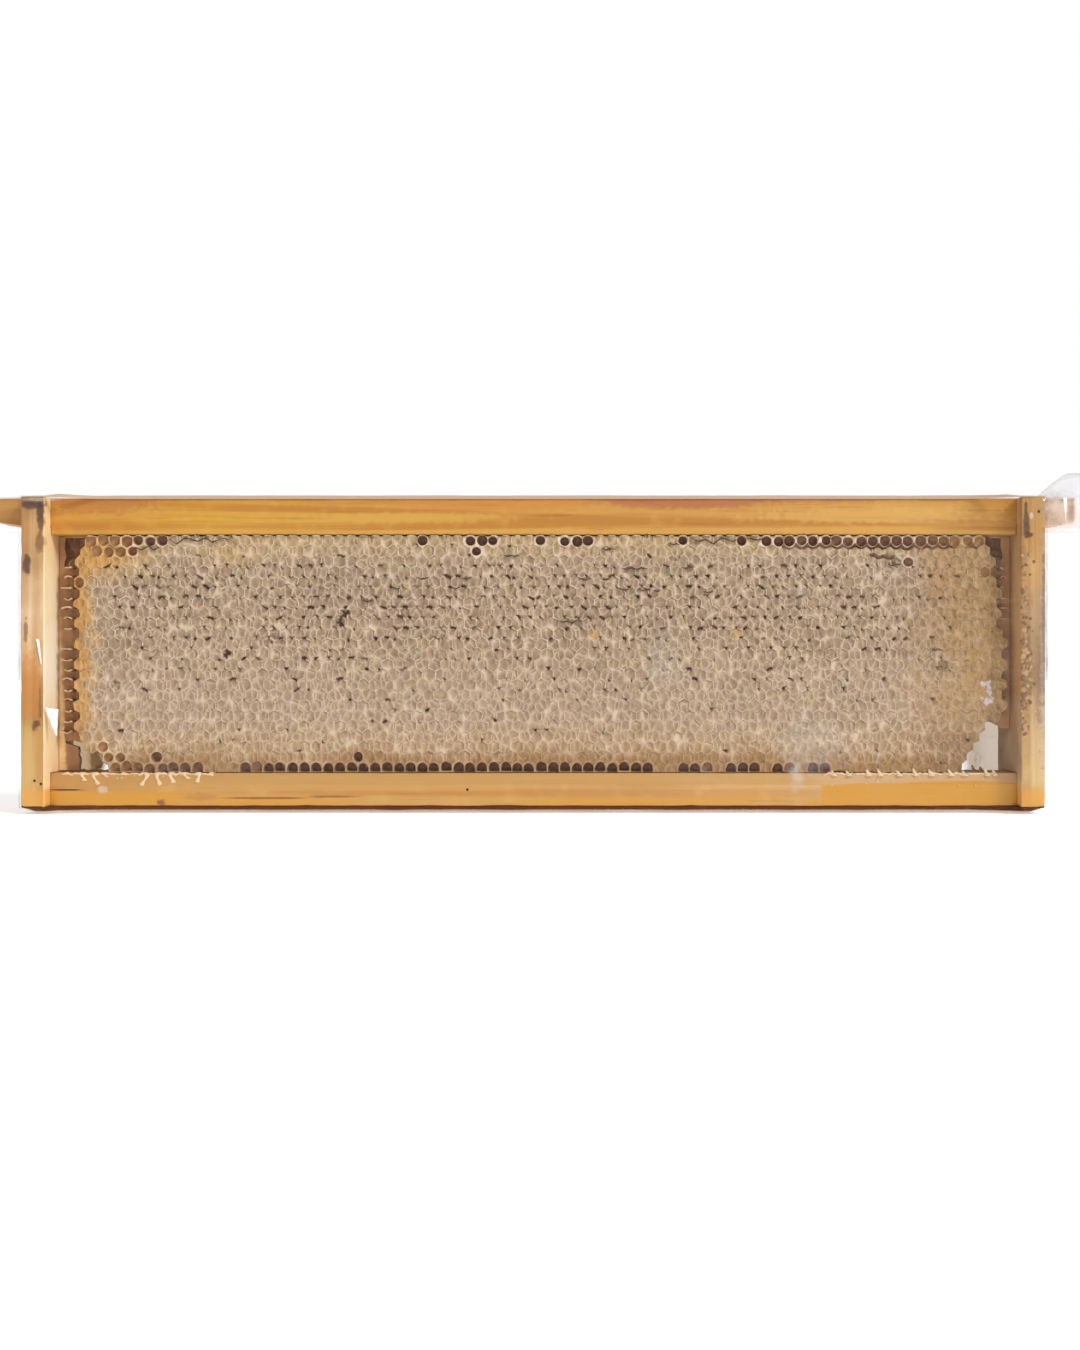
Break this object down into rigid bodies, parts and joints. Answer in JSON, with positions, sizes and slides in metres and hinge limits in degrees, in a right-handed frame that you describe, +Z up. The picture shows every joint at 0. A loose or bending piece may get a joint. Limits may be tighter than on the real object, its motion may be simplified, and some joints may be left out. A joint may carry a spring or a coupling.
{
  "type": "honeycomb frame",
  "caption": "Shallow wooden hive frame filled with capped honeycomb, with lugs at both ends of its top bar, wrapped in clear stretch film.",
  "frame": {"origin": "centre of the footprint, on the surface that the frame stands on", "axes": "+X along the top bar, to the right in the front view; +Y from the front to the back, through the comb; +Z up"},
  "size_m": [0.4814, 0.0364, 0.1397],
  "materials": {
    "pine": "planed pine, weathered, stained with propolis and wet with honey in places",
    "beeswax": "beige-tan wax cappings, slightly greasy",
    "film": "clear, glossy, wrinkled stretch film"
  },
  "bodies": {
    "root": {"top_bar": "pine", "end_bar_left": "pine", "end_bar_right": "pine", "bottom_bar": "pine", "comb": "beeswax", "film_wrap": "film", "film_lug_left": "film", "film_lug_right": "film"}
  },
  "joints": []
}
